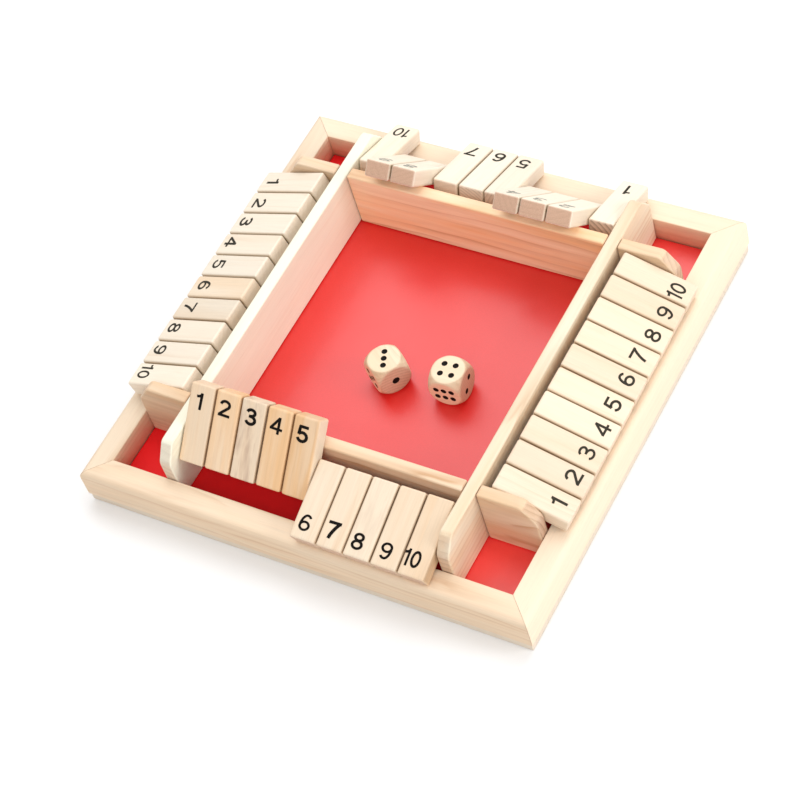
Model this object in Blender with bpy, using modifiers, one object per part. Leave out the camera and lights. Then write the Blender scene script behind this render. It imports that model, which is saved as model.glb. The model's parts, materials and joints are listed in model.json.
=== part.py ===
"""Square wooden board game for four players: a felt-lined dice tray with ten swinging number tiles a side.

The origin is on the table under the middle of the board. +Z is up, and the player at -Y sits in front.
Each player's side is built in the same frame, tiles running left to right along +X, and turned into place.
All sizes are in metres.
"""
import math

import bmesh
import bpy
from mathutils import Matrix, Vector

# Rails, base and felt
rail_width = 0.0120
rail_height = 0.0163
rail_round = 0.0030            # rounded top edge on the outside
rail_foot_round = 0.0012       # rounded bottom edge on the outside
rail_inner_round = 0.0005
channel_width = 0.0280         # from the walls' outer faces to the rails, under the tiles
base_rim_thickness = 0.0038    # what shows under the rails
base_inset = 0.0006            # the base's edge lies this far inside the rails' faces
base_field_rise = 0.0024       # the middle of the base stands up between the rails
felt_thickness = 0.0010

# Walls of the tray and of the corner wells
wall_thickness = 0.0060
wall_over_rail = 0.0194        # how far the walls stand above the rails
wall_edge_round = 0.0008
end_slope_length = 0.0066      # sloped ends of the boards and cheeks, seen from the side
end_slope_drop = 0.0088
end_slope_round = 0.0025       # softened turns above and below the slope

# Tiles and the rods that they swing on
tile_width = 0.0128
tile_thickness = 0.0082
tile_tail = 0.0092             # from the rod to the tile's short end
tile_edge_round = 0.0005
tile_side_gap = 0.00045        # between neighbours, and at both ends of a row
tile_rest_margin = 0.0002      # an open tile rests this far inside the rail's rounding
rod_radius = 0.0015
rod_from_wall = 0.0130         # from the wall's outer face out to the rod's axis
rod_over_rail = 0.0125
rod_seat_skin = 0.0020         # wood left behind the blind holes that hold the rods
rod_running_gap = 0.00035      # round the rod, inside a tile

# Dice
die_side = 0.0160
die_ball_share = 0.6875        # radius of the ball that a die is cut from, as a share of its side
die_right_x = 0.0230
die_right_y = -0.0083
die_left_x = -0.0076
die_left_y = -0.0122
die_right_turn = math.radians(4.7)
die_left_turn = math.radians(57.2)

# Gap kept between pieces that touch, and how far a cutter runs past what it cuts
touch_gap = 0.0003
cut_overrun = 0.0020

# Counts
tiles_per_side = 10
round_sides = 24
rail_round_steps = 4
wall_round_steps = 2
slope_round_steps = 3
tile_round_steps = 2
die_ball_steps = 4

# Numbers that lean over the tray wall, on each player's side; the rest lie open on the rail
flipped_numbers = {"south": (1, 2, 3, 4, 5), "east": (), "north": (2, 3, 4, 8, 9), "west": ()}
sides = ("south", "east", "north", "west")
quarter_turn = math.pi / 2
parallel_share = 0.99          # how nearly an edge must run across a board to count as across

# Distances from the middle of the board outwards
tile_pitch = tile_width + tile_side_gap
tray_half = (tiles_per_side * tile_pitch + tile_side_gap) / 2
wall_outer = tray_half + wall_thickness
rail_inner = wall_outer + channel_width
board_half = rail_inner + rail_width
inner_reach = rail_inner - touch_gap
rod_out = wall_outer + rod_from_wall
rod_seat_depth = wall_thickness - rod_seat_skin

# Levels above the table
rail_bottom = base_rim_thickness + touch_gap
rail_top = rail_bottom + rail_height
field_top = base_rim_thickness + base_field_rise
felt_bottom = field_top + touch_gap
felt_top = felt_bottom + felt_thickness
wall_bottom = felt_top + touch_gap
wall_top = rail_top + wall_over_rail
rod_height = rail_top + rod_over_rail

# A tile's long end is just long enough for its lower edge to rest on the flat of the rail
rest_run = board_half - rail_round - tile_rest_margin - rod_out
rest_fall = rod_over_rail - touch_gap - tile_edge_round
rest_half = tile_thickness / 2 - tile_edge_round
tile_reach = math.sqrt(rest_run ** 2 + rest_fall ** 2 - rest_half ** 2) + tile_edge_round

# Colours
pine = (0.74, 0.55, 0.36)
pine_light = (0.80, 0.64, 0.45)
pine_shade = (0.62, 0.45, 0.28)
felt_red = (0.52, 0.015, 0.02)
steel = (0.55, 0.55, 0.55)


def open_angle():
    """How far a tile slopes down when its long end rests on the rail."""
    return math.atan2(rest_fall, rest_run) - math.atan2(rest_half, tile_reach - tile_edge_round)


def flipped_angle():
    """How steeply a tile leans when it has been swung over, against the tray wall's rounded edge."""
    run = rod_from_wall + wall_edge_round
    rise = wall_over_rail - wall_edge_round - rod_over_rail
    stand_off = tile_thickness / 2 + touch_gap + wall_edge_round
    return math.atan2(rise, run) + math.asin(stand_off / math.hypot(run, rise))


def clear_scene():
    """Start from nothing, whatever the open file holds."""
    for old in list(bpy.data.objects):
        bpy.data.objects.remove(old, do_unlink=True)


def make_collection(name):
    """A collection in the scene, for parts or for cutters."""
    group = bpy.data.collections.new(name)
    bpy.context.scene.collection.children.link(group)
    return group


def make_material(name, colour, roughness, metallic=0.0):
    """One Principled surface."""
    surface = bpy.data.materials.new(name)
    surface.use_nodes = True
    shader = surface.node_tree.nodes["Principled BSDF"]
    shader.inputs["Base Color"].default_value = (*colour, 1.0)
    shader.inputs["Roughness"].default_value = roughness
    shader.inputs["Metallic"].default_value = metallic
    surface.diffuse_color = (*colour, 1.0)
    return surface


def wood(name, colour):
    """Bare sanded pine."""
    return make_material(name, colour, 0.6)


def block(low, high):
    """A box in bmesh, between two opposite corners."""
    mesh = bmesh.new()
    size = Vector(high) - Vector(low)
    middle = (Vector(high) + Vector(low)) / 2
    bmesh.ops.create_cube(mesh, size=1.0, matrix=Matrix.Translation(middle) @ Matrix.Diagonal((*size, 1.0)))
    return mesh


def edges_where(mesh, test):
    """The edges whose two ends both pass a test."""
    return [edge for edge in mesh.edges if all(test(corner.co) for corner in edge.verts)]


def round_edges(mesh, edges, radius, steps):
    """Round some edges of a bmesh."""
    bmesh.ops.bevel(mesh, geom=edges, offset=radius, segments=steps, profile=0.5, affect="EDGES")


def slice_off(mesh, point, outward):
    """Cut the mesh with a plane, drop what lies outward of it and close the cut."""
    everything = mesh.verts[:] + mesh.edges[:] + mesh.faces[:]
    bmesh.ops.bisect_plane(mesh, geom=everything, plane_co=point, plane_no=outward, clear_outer=True)
    bmesh.ops.holes_fill(mesh, edges=[edge for edge in mesh.edges if edge.is_boundary])
    bmesh.ops.recalc_face_normals(mesh, faces=mesh.faces[:])


def slope_end(mesh, foot, outward):
    """Slope off one end of a board, from a point at the slope's foot, and soften the turns into it."""
    direction = outward.normalized()
    slice_off(mesh, foot, direction)
    slope = max(mesh.faces, key=lambda face: face.normal.dot(direction))
    across = direction.cross(Vector((0, 0, 1))).normalized()
    turns = [edge for edge in slope.edges
             if abs((edge.verts[0].co - edge.verts[1].co).normalized().dot(across)) > parallel_share]
    round_edges(mesh, turns, end_slope_round, slope_round_steps)


def make_object(name, mesh, group, surface=None, smooth=False):
    """Turn a bmesh into a named object."""
    data = bpy.data.meshes.new(name)
    mesh.to_mesh(data)
    mesh.free()
    if smooth:
        data.shade_smooth()
        data.set_sharp_from_angle(angle=math.radians(35))
    if surface is not None:
        data.materials.append(surface)
    item = bpy.data.objects.new(name, data)
    group.objects.link(item)
    return item


def make_cutter(name, mesh, group):
    """A shape that only cuts others."""
    cutter = make_object(name, mesh, group)
    cutter.hide_render = True
    cutter.display_type = "WIRE"
    return cutter


def add_rounding(item, radius, steps):
    """Round all the sharp edges of an object."""
    bevel = item.modifiers.new("rounded_edges", "BEVEL")
    bevel.width = radius
    bevel.segments = steps
    bevel.limit_method = "ANGLE"
    bevel.angle_limit = math.radians(30)


def add_cut(item, cutter):
    """Cut one shape out of an object."""
    cut = item.modifiers.new("cut_" + cutter.name, "BOOLEAN")
    cut.operation = "DIFFERENCE"
    cut.solver = "EXACT"
    cut.object = cutter


def round_bar(radius, length):
    """A cylinder in bmesh, along X."""
    mesh = bmesh.new()
    bmesh.ops.create_cone(mesh, cap_ends=True, segments=round_sides, radius1=radius, radius2=radius,
                          depth=length, matrix=Matrix.Rotation(quarter_turn, 4, "Y"))
    return mesh


def make_side_frame(side, index, group):
    """An empty that turns one player's pieces from the front of the board to their own side."""
    frame = bpy.data.objects.new("frame_" + side, None)
    frame.empty_display_size = tile_reach
    frame.rotation_euler = (0, 0, index * quarter_turn)
    group.objects.link(frame)
    return frame


def make_rail(side, frame, group):
    """One mitred rail, rounded along the outside."""
    mesh = block((-board_half, -board_half, rail_bottom), (board_half, -rail_inner, rail_top))
    middle_height = (rail_bottom + rail_top) / 2
    middle_width = -(board_half + rail_inner) / 2
    outer_top = edges_where(mesh, lambda co: co.y < middle_width and co.z > middle_height)
    round_edges(mesh, outer_top, rail_round, rail_round_steps)
    outer_foot = edges_where(mesh, lambda co: co.y < middle_width and co.z < middle_height)
    round_edges(mesh, outer_foot, rail_foot_round, wall_round_steps)
    inner_top = edges_where(mesh, lambda co: co.y > middle_width and co.z > middle_height)
    round_edges(mesh, inner_top, rail_inner_round, wall_round_steps)
    for end in (-1, 1):
        outward = Vector((end, 1, 0)).normalized()
        slice_off(mesh, outward * (-touch_gap / 2), outward)
    rail = make_object("rail_" + side, mesh, group, wood("rail_%s_wood" % side, pine), smooth=True)
    rail.parent = frame
    return rail


def make_rod(side, frame, group):
    """One steel rod that carries a row of tiles, its ends in blind holes."""
    length = 2 * (tray_half + rod_seat_depth - touch_gap)
    mesh = round_bar(rod_radius, length)
    surface = make_material("rod_%s_steel" % side, steel, 0.3, metallic=1.0)
    rod = make_object("rod_" + side, mesh, group, surface, smooth=True)
    rod.location = (0, -rod_out, rod_height)
    rod.parent = frame
    return rod


def make_tile_shape(parts, cutters):
    """The shape that all forty tiles share, with its origin on the rod's axis."""
    half_width = tile_width / 2
    half_thickness = tile_thickness / 2
    body = block((-half_width, -tile_reach, -half_thickness), (half_width, tile_tail, half_thickness))
    pattern = make_object("tile_pattern", body, parts)
    add_rounding(pattern, tile_edge_round, tile_round_steps)
    bore = round_bar(rod_radius + rod_running_gap, tile_width + 2 * cut_overrun)
    add_cut(pattern, make_cutter("tile_bore", bore, cutters))
    bpy.context.view_layer.update()
    finished = pattern.evaluated_get(bpy.context.evaluated_depsgraph_get())
    shape = bpy.data.meshes.new_from_object(finished)
    bpy.data.objects.remove(pattern, do_unlink=True)
    shape.name = "tile"
    return shape


def make_tile(side, number, frame, shape, group):
    """One numbered tile on its rod, open on the rail or leaning over the tray wall."""
    name = "tile_%s_%02d" % (side, number)
    data = shape.copy()
    data.name = name
    data.materials.clear()
    data.materials.append(wood(name + "_wood", pine_light))
    tile = bpy.data.objects.new(name, data)
    group.objects.link(tile)
    place = (number - (tiles_per_side + 1) / 2) * tile_pitch
    tile.location = (place, -rod_out, rod_height)
    flipped = number in flipped_numbers[side]
    tilt = flipped_angle() - math.pi if flipped else open_angle()
    tile.rotation_euler = (tilt, 0, 0)
    tile.parent = frame
    return tile


def make_seat_cutters(side, frame, cutters):
    """A bar on each rod's axis, long enough to cut the blind holes at both of its ends."""
    length = 2 * (tray_half + rod_seat_depth)
    mesh = round_bar(rod_radius + touch_gap, length)
    cutter = make_cutter("rod_seats_" + side, mesh, cutters)
    cutter.location = (0, -rod_out, rod_height)
    cutter.parent = frame
    return cutter


def make_board(name, direction, group, seat_cutters):
    """A full-length board: a wall of the tray whose sloped ends run out to the front and back rails."""
    inner = direction * tray_half
    outer = direction * wall_outer
    mesh = block((min(inner, outer), -inner_reach, wall_bottom), (max(inner, outer), inner_reach, wall_top))
    for end in (-1, 1):
        foot = Vector((0, end * inner_reach, wall_top - end_slope_drop))
        slope_end(mesh, foot, Vector((0, end * end_slope_drop, end_slope_length)))
    board = make_object(name, mesh, group, wood(name + "_wood", pine))
    add_rounding(board, wall_edge_round, wall_round_steps)
    for cutter in seat_cutters:
        add_cut(board, cutter)
    return board


def make_tray_wall(name, direction, group):
    """A wall of the tray that fits between the two full-length boards."""
    reach = tray_half - touch_gap
    inner = direction * tray_half
    outer = direction * wall_outer
    mesh = block((-reach, min(inner, outer), wall_bottom), (reach, max(inner, outer), wall_top))
    wall = make_object(name, mesh, group, wood(name + "_wood", pine))
    add_rounding(wall, wall_edge_round, wall_round_steps)
    return wall


def make_cheek(name, east, north, group, seat_cutter):
    """A short wall from a full-length board out to a side rail, in line with a tray wall."""
    near = east * (wall_outer + touch_gap)
    far = east * inner_reach
    inner = north * tray_half
    outer = north * wall_outer
    low = (min(near, far), min(inner, outer), wall_bottom)
    high = (max(near, far), max(inner, outer), wall_top)
    mesh = block(low, high)
    foot = Vector((far, 0, wall_top - end_slope_drop))
    slope_end(mesh, foot, Vector((east * end_slope_drop, 0, end_slope_length)))
    cheek = make_object(name, mesh, group, wood(name + "_wood", pine_shade))
    add_rounding(cheek, wall_edge_round, wall_round_steps)
    add_cut(cheek, seat_cutter)
    return cheek


def make_base(group):
    """The base panel: a rim that the rails stand on, and a raised field that fits between them."""
    reach = board_half - base_inset
    mesh = block((-reach, -reach, 0), (reach, reach, base_rim_thickness))
    top = max(mesh.faces, key=lambda face: face.calc_center_median().z)
    bmesh.ops.inset_individual(mesh, faces=[top], thickness=reach - inner_reach, use_even_offset=True)
    risen = bmesh.ops.extrude_face_region(mesh, geom=[top])
    corners = [item for item in risen["geom"] if isinstance(item, bmesh.types.BMVert)]
    bmesh.ops.translate(mesh, verts=corners, vec=(0, 0, base_field_rise))
    bmesh.ops.delete(mesh, geom=[top], context="FACES_ONLY")
    bmesh.ops.recalc_face_normals(mesh, faces=mesh.faces[:])
    return make_object("base_panel", mesh, group, wood("base_panel_wood", pine_shade))


def make_felt(group):
    """The felt sheet on the base's field, under the walls."""
    mesh = block((-inner_reach, -inner_reach, felt_bottom), (inner_reach, inner_reach, felt_top))
    return make_object("felt_lining", mesh, group, make_material("felt_lining_red", felt_red, 0.95))


def make_die(name, x, y, turn, group):
    """A die: a wooden ball with six flats, standing on the felt."""
    half = die_side / 2
    mesh = bmesh.new()
    bmesh.ops.create_icosphere(mesh, subdivisions=die_ball_steps, radius=die_side * die_ball_share)
    for axis in range(3):
        for direction in (-1, 1):
            outward = Vector((0, 0, 0))
            outward[axis] = direction
            slice_off(mesh, outward * half, outward)
    die = make_object(name, mesh, group, wood(name + "_wood", pine_light), smooth=True)
    die.location = (x, y, felt_top + touch_gap + half)
    die.rotation_euler = (0, 0, turn)
    return die


def main():
    """Build the whole board game."""
    clear_scene()
    parts = make_collection("tile_board_game")
    cutters = make_collection("cutters")
    make_base(parts)
    make_felt(parts)
    tile_shape = make_tile_shape(parts, cutters)
    seats = {}
    for index, side in enumerate(sides):
        frame = make_side_frame(side, index, parts)
        make_rail(side, frame, parts)
        make_rod(side, frame, parts)
        seats[side] = make_seat_cutters(side, frame, cutters)
        for number in range(1, tiles_per_side + 1):
            make_tile(side, number, frame, tile_shape, parts)
    for name, direction in (("board_west", -1), ("board_east", 1)):
        make_board(name, direction, parts, (seats["south"], seats["north"]))
    for name, direction in (("wall_south", -1), ("wall_north", 1)):
        make_tray_wall(name, direction, parts)
    for side, east in (("west", -1), ("east", 1)):
        for end, north in (("south", -1), ("north", 1)):
            make_cheek("cheek_%s_%s" % (end, side), east, north, parts, seats[side])
    make_die("die_left", die_left_x, die_left_y, die_left_turn, parts)
    make_die("die_right", die_right_x, die_right_y, die_right_turn, parts)


main()
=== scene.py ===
# %% [markdown]
# # A square wooden dice game with swinging number tiles
#
# Four players sit round this board. Each has ten numbered tiles on a steel rod, and flips them over the wall of a
# felt-lined dice tray in the middle. The imported model gives every piece's size and place, and says what moves.
# This lesson dresses it: softly rounded planks with pine figure that runs the right way through each of them,
# printed numbers, drilled dice and red felt.
#
# The first cell loads that model, moves each part's place into its mesh and keeps its parts and joints.

# %% Load the imported model
import json
import math
import random

import bmesh
import bpy
from mathutils import Matrix, Vector, noise


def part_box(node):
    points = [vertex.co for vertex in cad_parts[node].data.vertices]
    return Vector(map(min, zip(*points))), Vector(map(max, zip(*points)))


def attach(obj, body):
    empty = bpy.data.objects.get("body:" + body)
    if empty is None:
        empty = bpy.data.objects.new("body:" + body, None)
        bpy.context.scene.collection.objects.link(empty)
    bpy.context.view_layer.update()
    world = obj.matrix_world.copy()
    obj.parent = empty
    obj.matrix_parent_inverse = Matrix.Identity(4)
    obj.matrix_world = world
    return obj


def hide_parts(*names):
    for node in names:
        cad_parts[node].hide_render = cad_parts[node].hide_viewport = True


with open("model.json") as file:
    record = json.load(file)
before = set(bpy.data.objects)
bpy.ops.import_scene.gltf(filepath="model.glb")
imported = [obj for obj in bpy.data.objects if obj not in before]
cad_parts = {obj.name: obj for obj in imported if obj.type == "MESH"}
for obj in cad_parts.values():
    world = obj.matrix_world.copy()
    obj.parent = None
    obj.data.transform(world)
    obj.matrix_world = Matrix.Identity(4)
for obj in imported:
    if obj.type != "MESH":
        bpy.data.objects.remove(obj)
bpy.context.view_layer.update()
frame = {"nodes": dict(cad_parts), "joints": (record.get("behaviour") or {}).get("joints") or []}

# %% [markdown]
# ## Where things are
#
# Every side of the board is the same row of pieces turned by a quarter. So each piece is made as if it were on the
# front side, and a turn about the middle of the board puts it in place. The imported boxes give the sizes, and each
# tile's hinge gives the rod that it swings on.

# %% Sides, sizes and places
sides = ("south", "east", "north", "west")
quarter_turn = math.pi / 2
turn_to = {side: Matrix.Rotation(index * quarter_turn, 4, "Z") for index, side in enumerate(sides)}
numbers = range(1, 11)

rail_low, rail_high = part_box("rail_south")
wall_low, wall_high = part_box("wall_south")
board_low, board_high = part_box("board_east")
cheek_low, cheek_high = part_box("cheek_south_east")
felt_low, felt_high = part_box("felt_lining")
base_low, base_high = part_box("base_panel")
hinges = {joint["child"]: joint for joint in frame["joints"] if joint["type"] == "hinge"}
print("rails reach", round(-rail_low.y, 5), "front rod at", hinges["tile_south_01"]["pos_m"])

# %% [markdown]
# ## Shaping planks
#
# A plank starts as a cube that is stretched between two corners. Saw cuts are plane cuts that drop what lies
# outside and close the hole. Sanded edges are bevels: the radius says how hard they were sanded, and the steps how
# smoothly the light runs round them.

# %% Helpers for planks
def block(low, high):
    """A box between two opposite corners."""
    mesh = bmesh.new()
    size = Vector(high) - Vector(low)
    middle = (Vector(high) + Vector(low)) / 2
    bmesh.ops.create_cube(mesh, size=1.0, matrix=Matrix.Translation(middle) @ Matrix.Diagonal((*size, 1.0)))
    return mesh


def saw(mesh, point, outward):
    """Cut with a plane, drop what lies outward of it and close the cut."""
    everything = mesh.verts[:] + mesh.edges[:] + mesh.faces[:]
    bmesh.ops.bisect_plane(mesh, geom=everything, plane_co=point, plane_no=outward, clear_outer=True)
    bmesh.ops.holes_fill(mesh, edges=[edge for edge in mesh.edges if edge.is_boundary])
    bmesh.ops.recalc_face_normals(mesh, faces=mesh.faces[:])


def sand(mesh, edges, radius, steps):
    """Round some edges."""
    bmesh.ops.bevel(mesh, geom=edges, offset=radius, segments=steps, profile=0.5, affect="EDGES", material=-1)


def sharp_edges(mesh, least=math.radians(30)):
    """The edges where two faces still meet at a corner."""
    return [edge for edge in mesh.edges if edge.is_manifold and edge.calc_face_angle() > least]


def edges_where(mesh, test):
    """The edges whose two ends both pass a test."""
    return [edge for edge in mesh.edges if all(test(corner.co) for corner in edge.verts)]


def raise_faces(mesh, faces, height):
    """Extrude some faces straight up."""
    risen = bmesh.ops.extrude_face_region(mesh, geom=faces)
    corners = [item for item in risen["geom"] if isinstance(item, bmesh.types.BMVert)]
    bmesh.ops.translate(mesh, verts=corners, vec=(0, 0, height))


# %% [markdown]
# ## Wood that knows its grain
#
# A plank looks sawn from a tree when its rings run through it: long lines on its faces, arcs on its ends. So each
# plank stores, at every point, where that point was in the tree: how far along the trunk, and where across it. The
# pine material draws rings round the trunk's middle from these stored places. They belong to the mesh, so the
# figure stays put when a tile swings.
#
# The lean says from which side the rings come. At 0 the tree's middle lies below the plank, so its lines show on the
# upright faces. At a quarter turn they show on top. Other stored values say how pale, warm, spotted or strongly
# lined the plank is, how wide its rings are, how nearly each face is end grain, and how dark each face is made.
# Faces that the saw left stay darker than sanded ones. The same value also paints shade on faces that lie in shade,
# such as tile sides in the gaps between tiles, and below zero it paints light, a pale face.

# %% Storing the grain in a mesh
lean_scatter = 0.25            # radians
trunk_length = 4               # metres of trunk that the planks are cut along
trunk_offset = 0.012           # furthest that a plank lay beside the trunk's middle
trunk_depths = (0.022, 0.05)   # how far above it
end_turn = 0.6                 # a face counts as end grain when it looks along the grain more than this


def lay_grain(mesh, along, name, tone=0.0, warmth=0.0, knots=0.0, figure=1.0, lean=0.0, sawn_and_shaded_sides=(),
              ring_width=0.0026, end_figure=0.5, end_share=1.0):
    """Store each point's place in the tree. along is the axis, 0 to 2, that the grain follows.

    figure and end_figure are how strongly the rings show on the long faces and on the ends, and end_share is how
    dark the ends are, which some pieces also set as painted light and shade. The list of sides gives an outward
    direction and how dark that side is made, for each side that the saw left, with painted shade for sides that lie
    in shade and, below zero, painted light that turns a side pale.
    """
    chance = random.Random("grain of " + name)
    place = mesh.verts.layers.float_vector.new("grain")
    finish = mesh.verts.layers.float_vector.new("finish")
    rings = mesh.verts.layers.float_vector.new("rings")
    end = mesh.faces.layers.float.new("end_grain")
    sawn_and_shade = mesh.faces.layers.float.new("sawn_and_shade")
    across = [axis for axis in range(3) if axis != along]
    middle = sum((corner.co for corner in mesh.verts), Vector()) / len(mesh.verts)
    turn = lean + chance.uniform(-lean_scatter, lean_scatter)
    start = chance.uniform(0, trunk_length)
    sideways = chance.uniform(-trunk_offset, trunk_offset)
    depth = chance.uniform(*trunk_depths)
    for corner in mesh.verts:
        local = corner.co - middle
        first, second = local[across[0]], local[across[1]]
        side = first * math.cos(turn) - second * math.sin(turn)
        rise = first * math.sin(turn) + second * math.cos(turn)
        corner[place] = (corner.co[along] + start, side + sideways, rise + depth)
        corner[finish] = (tone, warmth, knots)
        corner[rings] = (figure, end_figure, ring_width)
    for face in mesh.faces:
        face[end] = end_share * max(0.0, (abs(face.normal[along]) - end_turn) / (1 - end_turn))
        face[sawn_and_shade] = sum(share * max(0.0, face.normal.dot(way)) ** 3 for way, share in sawn_and_shaded_sides)


# %% [markdown]
# ## From bmesh to a finished piece
#
# A finished piece keeps its object at the origin, with its place in its mesh. Flat faces next to rounded edges
# shade wrongly if every corner's normal is a plain average, so a Weighted Normal modifier lets the large faces
# lead, and its result is kept in the mesh. Three small helpers do what every kind of object needs on the way.

# %% Finishing a piece
smooth_limit = math.radians(40)    # sharper edges than this are kept sharp, where a piece asks for it


def as_data(name, mesh, materials=()):
    """A bmesh as mesh data with its materials. The bmesh is used up."""
    data = bpy.data.meshes.new(name)
    mesh.to_mesh(data)
    mesh.free()
    for material in materials:
        data.materials.append(material)
    return data


def add_object(name, data):
    """A new object in the scene."""
    item = bpy.data.objects.new(name, data)
    bpy.context.scene.collection.objects.link(item)
    return item


def evaluated_data(item, keep_layers=False):
    """An object's mesh data after its modifiers."""
    depsgraph = bpy.context.evaluated_depsgraph_get()
    return bpy.data.meshes.new_from_object(item.evaluated_get(depsgraph), preserve_all_data_layers=keep_layers,
                                           depsgraph=depsgraph)


def finish_piece(name, mesh, materials, body, replaced=None, place=Matrix.Identity(4), sharp=None):
    """Put a bmesh in place as a named object that rides on a body of the frame."""
    bmesh.ops.transform(mesh, matrix=place, verts=mesh.verts[:])
    bmesh.ops.recalc_face_normals(mesh, faces=mesh.faces[:])
    rough = as_data(name + "_rough", mesh, materials)
    rough.shade_smooth()
    if sharp is not None:
        rough.set_sharp_from_angle(angle=sharp)
    piece = add_object(name, rough)
    piece.modifiers.new("weighted", "WEIGHTED_NORMAL").keep_sharp = True
    finished = evaluated_data(piece, keep_layers=True)
    piece.modifiers.clear()
    piece.data = finished
    finished.name = name
    bpy.data.meshes.remove(rough)
    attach(piece, body)
    if replaced:
        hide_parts(replaced)
    return piece


# %% [markdown]
# ## Building materials from nodes
#
# A few short helpers keep the node trees readable. They fill in sockets, do arithmetic, mix colours, draw noise and
# ramps, and read a value that is stored in the mesh.

# %% Helpers for node trees
def start_material(name):
    """A new material, its node tree and its surface shader."""
    material = bpy.data.materials.new(name)
    material.use_nodes = True
    return material, material.node_tree, material.node_tree.nodes["Principled BSDF"]


def put(tree, socket, value):
    """Give a socket a number, or link it to another socket."""
    if isinstance(value, bpy.types.NodeSocket):
        tree.links.new(value, socket)
    else:
        socket.default_value = value


def fill_in(tree, node, values):
    """Give several sockets of a node their values, by the sockets' names or numbers."""
    for name, value in values.items():
        put(tree, node.inputs[name], value)


def add_node(tree, kind, values, **settings):
    """A new node, with the values of its sockets and its own settings."""
    node = tree.nodes.new("ShaderNode" + kind)
    for name, setting in settings.items():
        setattr(node, name, setting)
    fill_in(tree, node, values)
    return node


def math_node(tree, operation, first, second=0.0, third=0.0, clamp=False):
    """Arithmetic on one, two or three values."""
    values = {0: first, 1: second, 2: third}
    return add_node(tree, "Math", values, operation=operation, use_clamp=clamp).outputs[0]


def vector_node(tree, operation, first, second=(0, 0, 0)):
    """Arithmetic on two vectors, or scaling by a number. The length comes out as a number."""
    values = {0: first, "Scale" if operation == "SCALE" else 1: second}
    node = add_node(tree, "VectorMath", values, operation=operation)
    return node.outputs["Value" if operation == "LENGTH" else "Vector"]


def stored(tree, name, output="Vector"):
    """A value that is stored in the mesh."""
    return add_node(tree, "Attribute", {}, attribute_name=name).outputs[output]


def stored_parts(tree, name):
    """The three numbers of a stored vector."""
    return add_node(tree, "SeparateXYZ", {0: stored(tree, name)}).outputs


def noise_node(tree, vector, scale, detail=2.0, roughness=0.5, output="Fac"):
    """Smooth noise, stretched by a scale for each axis."""
    stretched = vector_node(tree, "MULTIPLY", vector, scale)
    values = {"Vector": stretched, "Scale": 1.0, "Detail": detail, "Roughness": roughness}
    return add_node(tree, "TexNoise", values).outputs[output]


def ramp_node(tree, value, stops):
    """A colour ramp of grey values: stops are pairs of place and brightness."""
    node = add_node(tree, "ValToRGB", {0: value})
    elements = node.color_ramp.elements
    while len(elements) < len(stops):
        elements.new(0.5)
    for element, (place, grey) in zip(elements, stops):
        element.position = place
        element.color = (grey, grey, grey, 1.0)
    return node.outputs[0]


def mix_node(tree, share, first, second, blend="MIX"):
    """Two colours mixed by a share."""
    values = {0: share, 6: first, 7: second}
    return add_node(tree, "Mix", values, data_type="RGBA", blend_type=blend).outputs[2]


def bump_node(tree, shader, height, distance, strength=1.0):
    """Small relief that only bends the light."""
    node = add_node(tree, "Bump", {"Strength": strength, "Distance": distance, "Height": height})
    tree.links.new(node.outputs[0], shader.inputs["Normal"])


# %% [markdown]
# ## Pine
#
# Pine is pale spring wood with thin, warmer lines of summer wood, one a year. The rings come from the distance to
# the trunk's middle, bent a little by slow noise, and a ramp makes each of them rise slowly and end quickly. Fine
# noise drawn out along the grain gives the fibres, and broader noise the drift from pale to tan. End grain drinks
# light, so those faces are darker and greyer.

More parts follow.
